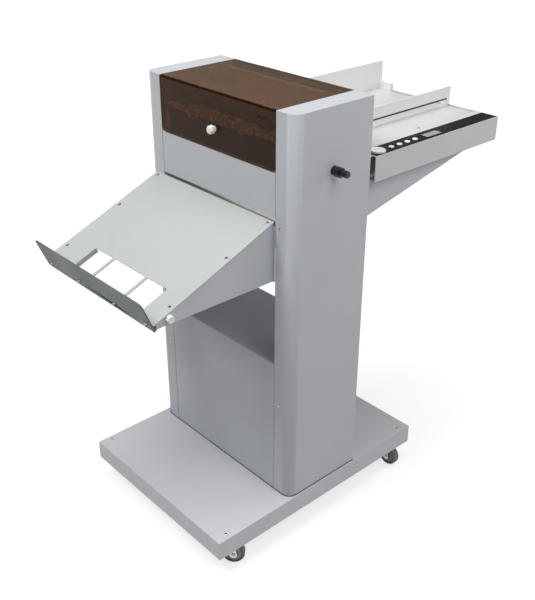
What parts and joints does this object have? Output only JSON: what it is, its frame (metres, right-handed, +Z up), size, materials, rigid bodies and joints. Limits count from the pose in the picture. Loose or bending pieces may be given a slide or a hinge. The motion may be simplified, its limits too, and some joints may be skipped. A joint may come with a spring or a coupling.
{
  "type": "paper creasing machine",
  "caption": "Floor-standing paper creasing machine with a feed table, creasing head under a tinted lifting cover, sloped delivery tray and wheeled base.",
  "frame": {"origin": "on the floor under the middle of the overall box", "axes": "+Z up, -Y towards the delivery tray, +Y towards the feed table, X across the machine with the hand knob at +X"},
  "size_m": [0.5, 0.9486, 0.975],
  "materials": {
    "paint_grey": "light blue-grey powder coat",
    "paint_light": "pale grey powder coat",
    "paint_dark": "dark grey-green powder coat",
    "zinc_steel": "zinc plated sheet",
    "bright_steel": "ground steel",
    "screw_steel": "bright screws",
    "bronze": "sintered bronze",
    "motor_black": "satin black",
    "rubber_black": "matt rubber",
    "wheel_grey": "grey caster tread",
    "tinted_acrylic": "smoked brown, clear",
    "black_plastic": "black moulding",
    "white_plastic": "white moulding",
    "strip_black": "black film strip",
    "display_grey": "pale grey window"
  },
  "bodies": {
    "machine": {"base_pan": "paint_grey", "base_rails": "zinc_steel", "caster_plates": "zinc_steel", "left_side_frame": "zinc_steel", "right_side_frame": "zinc_steel", "left_side_cover": "paint_grey", "right_side_cover": "paint_grey", "lower_cabinet": "paint_grey", "front_panel": "paint_grey", "rear_panel": "paint_grey", "top_beam": "zinc_steel", "bed_beam": "zinc_steel", "paper_chute": "zinc_steel", "shaft_bearings": "bronze", "crease_motor": "motor_black", "feed_motor": "motor_black", "feed_belt": "rubber_black", "tray_bracket": "paint_grey", "tray_deck": "paint_light", "table_bracket": "paint_grey", "feed_table": "paint_light", "control_strip": "strip_black", "display_window": "display_grey", "panel_screws": "screw_steel", "cover_pins": "bright_steel", "power_inlet": "black_plastic"},
    "cover": {"top_cover": "tinted_acrylic", "cover_knob": "white_plastic", "cover_hinges": "black_plastic"},
    "eccentric": {"eccentric_shaft": "bright_steel"},
    "knife": {"knife_beam": "bright_steel", "crease_blade": "bright_steel"},
    "upper_transport": {"upper_shaft": "bright_steel", "upper_rollers": "rubber_black", "upper_gear": "bright_steel", "hand_knob": "black_plastic"},
    "lower_transport": {"lower_shaft": "bright_steel", "lower_rollers": "rubber_black", "lower_gear": "bright_steel"},
    "feed_roller": {"feed_shaft": "bright_steel", "feed_wheels": "rubber_black"},
    "stop": {"paper_stop": "paint_dark"},
    "stop_clamp_left": {"stop_knob_left": "white_plastic"},
    "stop_clamp_right": {"stop_knob_right": "white_plastic"},
    "guide_left": {"left_guide": "paint_light"},
    "guide_right": {"right_guide": "paint_light"},
    "start_key": {"start_button": "white_plastic"},
    "switch_rocker": {"power_switch": "black_plastic"},
    "key_1": {"button_1": "white_plastic"},
    "fork_1": {"caster_fork_1": "zinc_steel"},
    "wheel_1": {"caster_wheel_1": "wheel_grey"},
    "key_2": {"button_2": "white_plastic"},
    "fork_2": {"caster_fork_2": "zinc_steel"},
    "wheel_2": {"caster_wheel_2": "wheel_grey"},
    "key_3": {"button_3": "white_plastic"},
    "fork_3": {"caster_fork_3": "zinc_steel"},
    "wheel_3": {"caster_wheel_3": "wheel_grey"},
    "key_4": {"button_4": "white_plastic"},
    "fork_4": {"caster_fork_4": "zinc_steel"},
    "wheel_4": {"caster_wheel_4": "wheel_grey"}
  },
  "joints": [
    {"name": "cover_hinge", "type": "hinge", "parent": "machine", "child": "cover", "pos_m": [-0.017, 0.04126, 0.9655], "axis": [-1, 0, 0], "range_deg": [0, 85]},
    {"name": "knife_slide", "type": "slide", "parent": "machine", "child": "knife", "axis": [0, 0, -1], "range_m": [0, 0.006]},
    {"name": "eccentric_turn", "type": "hinge", "parent": "machine", "child": "eccentric", "pos_m": [-0.017, -0.13574, 0.91], "axis": [1, 0, 0], "range_deg": [0, 180]},
    {"name": "upper_spin", "type": "hinge", "parent": "machine", "child": "upper_transport", "pos_m": [-0.017, -0.05574, 0.85], "axis": [1, 0, 0], "continuous": true},
    {"name": "lower_spin", "type": "hinge", "parent": "machine", "child": "lower_transport", "pos_m": [-0.017, -0.04011, 0.81318], "axis": [1, 0, 0], "continuous": true},
    {"name": "feed_spin", "type": "hinge", "parent": "machine", "child": "feed_roller", "pos_m": [-0.017, 0.02226, 0.8744], "axis": [1, 0, 0], "continuous": true},
    {"name": "stop_slide", "type": "slide", "parent": "machine", "child": "stop", "axis": [0, -0.9272, -0.3746], "range_m": [0, 0.08]},
    {"name": "stop_clamp_left_turn", "type": "hinge", "parent": "machine", "child": "stop_clamp_left", "pos_m": [-0.221, -0.41728, 0.64163], "axis": [1, 0, 0], "continuous": true},
    {"name": "stop_clamp_right_turn", "type": "hinge", "parent": "machine", "child": "stop_clamp_right", "pos_m": [0.157, -0.41728, 0.64163], "axis": [1, 0, 0], "continuous": true},
    {"name": "guide_left_slide", "type": "slide", "parent": "machine", "child": "guide_left", "axis": [1, 0, 0], "range_m": [-0.045, 0.06]},
    {"name": "guide_right_slide", "type": "slide", "parent": "machine", "child": "guide_right", "axis": [1, 0, 0], "range_m": [-0.06, 0.07]},
    {"name": "start_press", "type": "slide", "parent": "machine", "child": "start_key", "axis": [0, 0, -1], "range_m": [0, 0.003], "stiffness_N_per_m": 600, "springref_m": -0.002},
    {"name": "key_1_press", "type": "slide", "parent": "machine", "child": "key_1", "axis": [0, 0, -1], "range_m": [0, 0.0015], "stiffness_N_per_m": 400, "springref_m": -0.002},
    {"name": "key_2_press", "type": "slide", "parent": "machine", "child": "key_2", "axis": [0, 0, -1], "range_m": [0, 0.0015], "stiffness_N_per_m": 400, "springref_m": -0.002},
    {"name": "key_3_press", "type": "slide", "parent": "machine", "child": "key_3", "axis": [0, 0, -1], "range_m": [0, 0.0015], "stiffness_N_per_m": 400, "springref_m": -0.002},
    {"name": "key_4_press", "type": "slide", "parent": "machine", "child": "key_4", "axis": [0, 0, -1], "range_m": [0, 0.0015], "stiffness_N_per_m": 400, "springref_m": -0.002},
    {"name": "switch_rock", "type": "hinge", "parent": "machine", "child": "switch_rocker", "pos_m": [-0.146, 0.04726, 0.16], "axis": [-1, 0, 0], "range_deg": [0, 16]},
    {"name": "swivel_1", "type": "hinge", "parent": "machine", "child": "fork_1", "pos_m": [-0.213, -0.31774, 0.065], "axis": [0, 0, 1], "continuous": true},
    {"name": "roll_1", "type": "hinge", "parent": "fork_1", "child": "wheel_1", "pos_m": [-0.195, -0.31774, 0.025], "axis": [0, 1, 0], "continuous": true},
    {"name": "swivel_2", "type": "hinge", "parent": "machine", "child": "fork_2", "pos_m": [0.179, -0.31774, 0.065], "axis": [0, 0, 1], "continuous": true},
    {"name": "roll_2", "type": "hinge", "parent": "fork_2", "child": "wheel_2", "pos_m": [0.19173, -0.30501, 0.025], "axis": [-0.7071, 0.7071, 0], "continuous": true},
    {"name": "swivel_3", "type": "hinge", "parent": "machine", "child": "fork_3", "pos_m": [-0.213, 0.20626, 0.065], "axis": [0, 0, 1], "continuous": true},
    {"name": "roll_3", "type": "hinge", "parent": "fork_3", "child": "wheel_3", "pos_m": [-0.21613, 0.22398, 0.025], "axis": [-0.9848, -0.1736, 0], "continuous": true},
    {"name": "swivel_4", "type": "hinge", "parent": "machine", "child": "fork_4", "pos_m": [0.179, 0.20626, 0.065], "axis": [0, 0, 1], "continuous": true},
    {"name": "roll_4", "type": "hinge", "parent": "fork_4", "child": "wheel_4", "pos_m": [0.197, 0.20626, 0.025], "axis": [0, 1, 0], "continuous": true}
  ],
  "couplings": [
    {"joint": "eccentric_turn", "follows": "knife_slide", "rad_per_m": 523.59},
    {"joint": "lower_spin", "follows": "upper_spin", "ratio": -1},
    {"joint": "feed_spin", "follows": "upper_spin", "ratio": 1}
  ]
}
